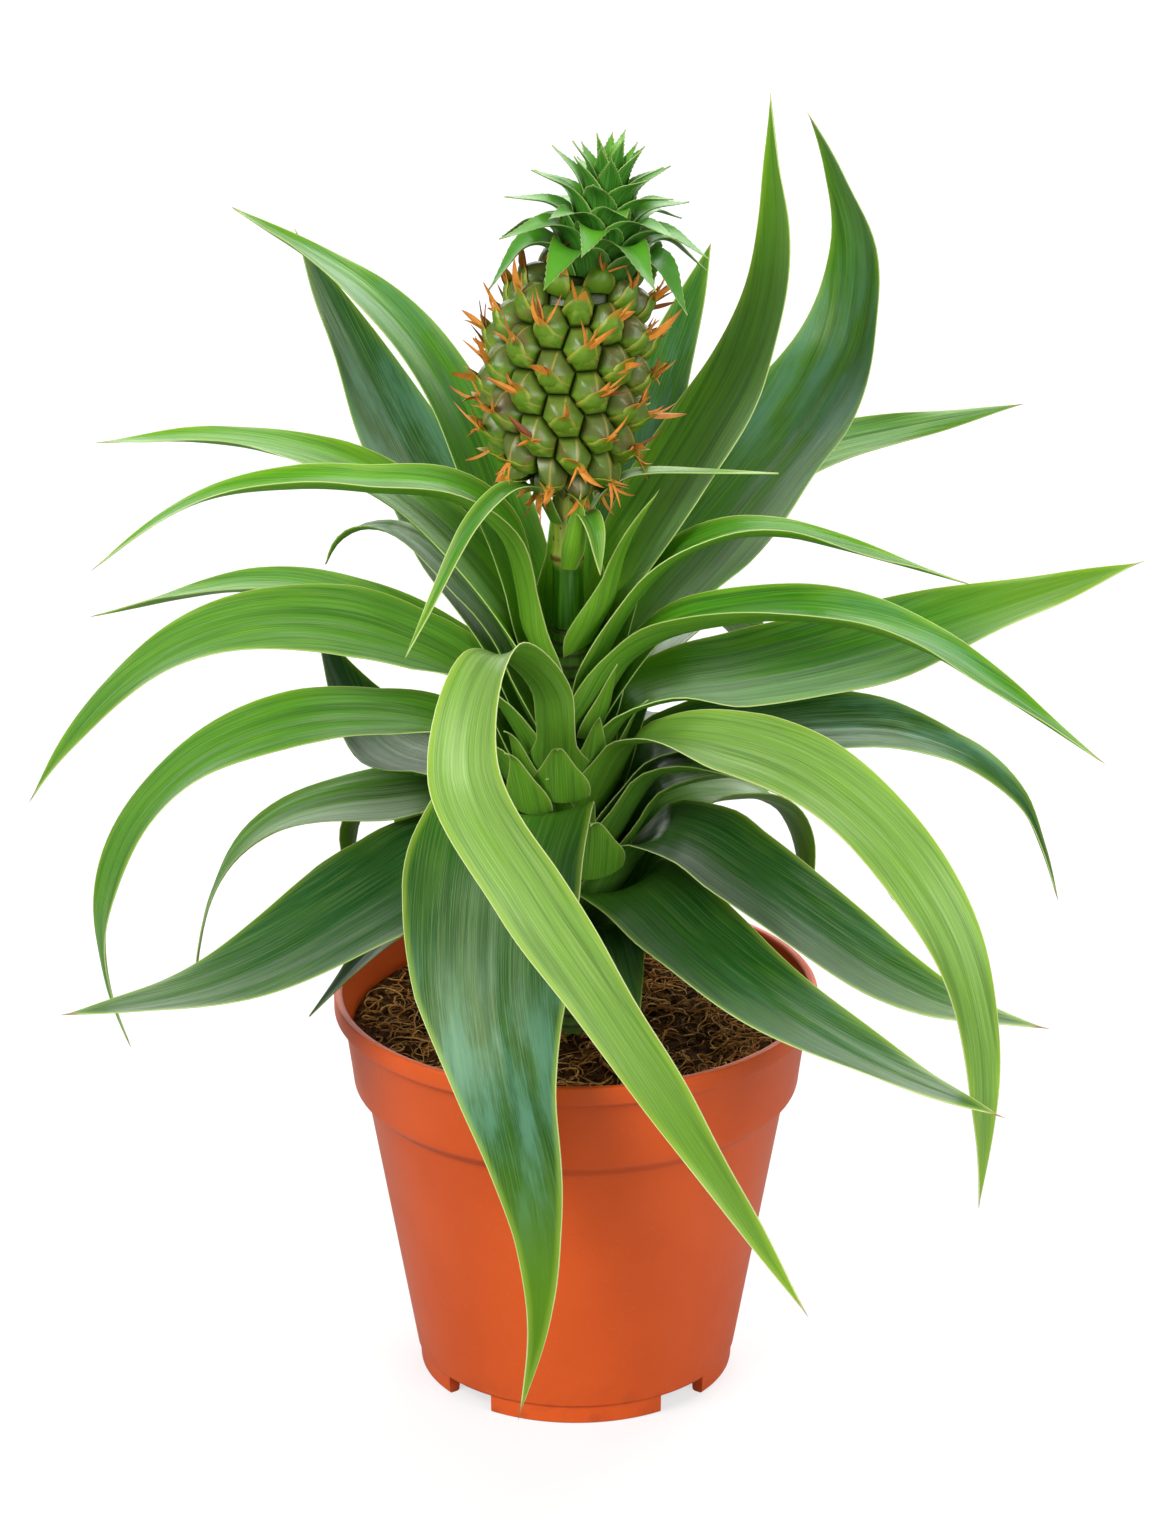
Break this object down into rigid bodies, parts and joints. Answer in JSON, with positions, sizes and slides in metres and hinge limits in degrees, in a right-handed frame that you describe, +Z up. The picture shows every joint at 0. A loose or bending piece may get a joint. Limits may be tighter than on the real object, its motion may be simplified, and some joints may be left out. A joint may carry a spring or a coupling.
{
  "type": "potted pineapple plant",
  "caption": "Dwarf pineapple plant in a round plastic grower's pot: arching strap leaves round a stalk that carries a young fruit with its leafy crown.",
  "frame": {"origin": "on the pot's axis at floor level, which is the centre of the bounding box's base", "axes": "+Z up along the pot's axis, -Y towards the plant's front, +X to its right"},
  "size_m": [0.3119, 0.249, 0.3728],
  "materials": {
    "terracotta_plastic": "satin injection-moulded plastic",
    "peat_and_coir": "crumbly, fibrous, matt",
    "stem_tissue": "matt living tissue",
    "leaf_green": "glossy living leaf",
    "stalk_green": "satin living tissue",
    "stalk_leaf_green": "satin living leaf",
    "fruit_skin": "knobbly satin rind",
    "crown_green": "satin living leaf"
  },
  "bodies": {
    "root": {"pot": "terracotta_plastic", "growing_mix": "peat_and_coir", "stem": "stem_tissue", "leaf_01": "leaf_green", "leaf_02": "leaf_green", "leaf_03": "leaf_green", "leaf_04": "leaf_green", "leaf_05": "leaf_green", "leaf_06": "leaf_green", "leaf_07": "leaf_green", "leaf_08": "leaf_green", "leaf_09": "leaf_green", "leaf_10": "leaf_green", "leaf_11": "leaf_green", "leaf_12": "leaf_green", "leaf_13": "leaf_green", "leaf_14": "leaf_green", "leaf_15": "leaf_green", "leaf_16": "leaf_green", "leaf_17": "leaf_green", "leaf_18": "leaf_green", "leaf_19": "leaf_green", "leaf_20": "leaf_green", "leaf_21": "leaf_green", "leaf_22": "leaf_green", "leaf_23": "leaf_green", "leaf_24": "leaf_green", "leaf_25": "leaf_green", "leaf_26": "leaf_green", "leaf_27": "leaf_green", "leaf_28": "leaf_green", "leaf_29": "leaf_green", "leaf_30": "leaf_green", "leaf_31": "leaf_green", "leaf_32": "leaf_green", "leaf_33": "leaf_green", "leaf_34": "leaf_green", "leaf_35": "leaf_green", "leaf_36": "leaf_green", "leaf_37": "leaf_green", "leaf_38": "leaf_green", "stalk": "stalk_green", "stalk_leaf_1": "stalk_leaf_green", "stalk_leaf_2": "stalk_leaf_green", "stalk_leaf_3": "stalk_leaf_green", "stalk_leaf_4": "stalk_leaf_green", "fruit": "fruit_skin", "crown": "crown_green"}
  },
  "joints": []
}
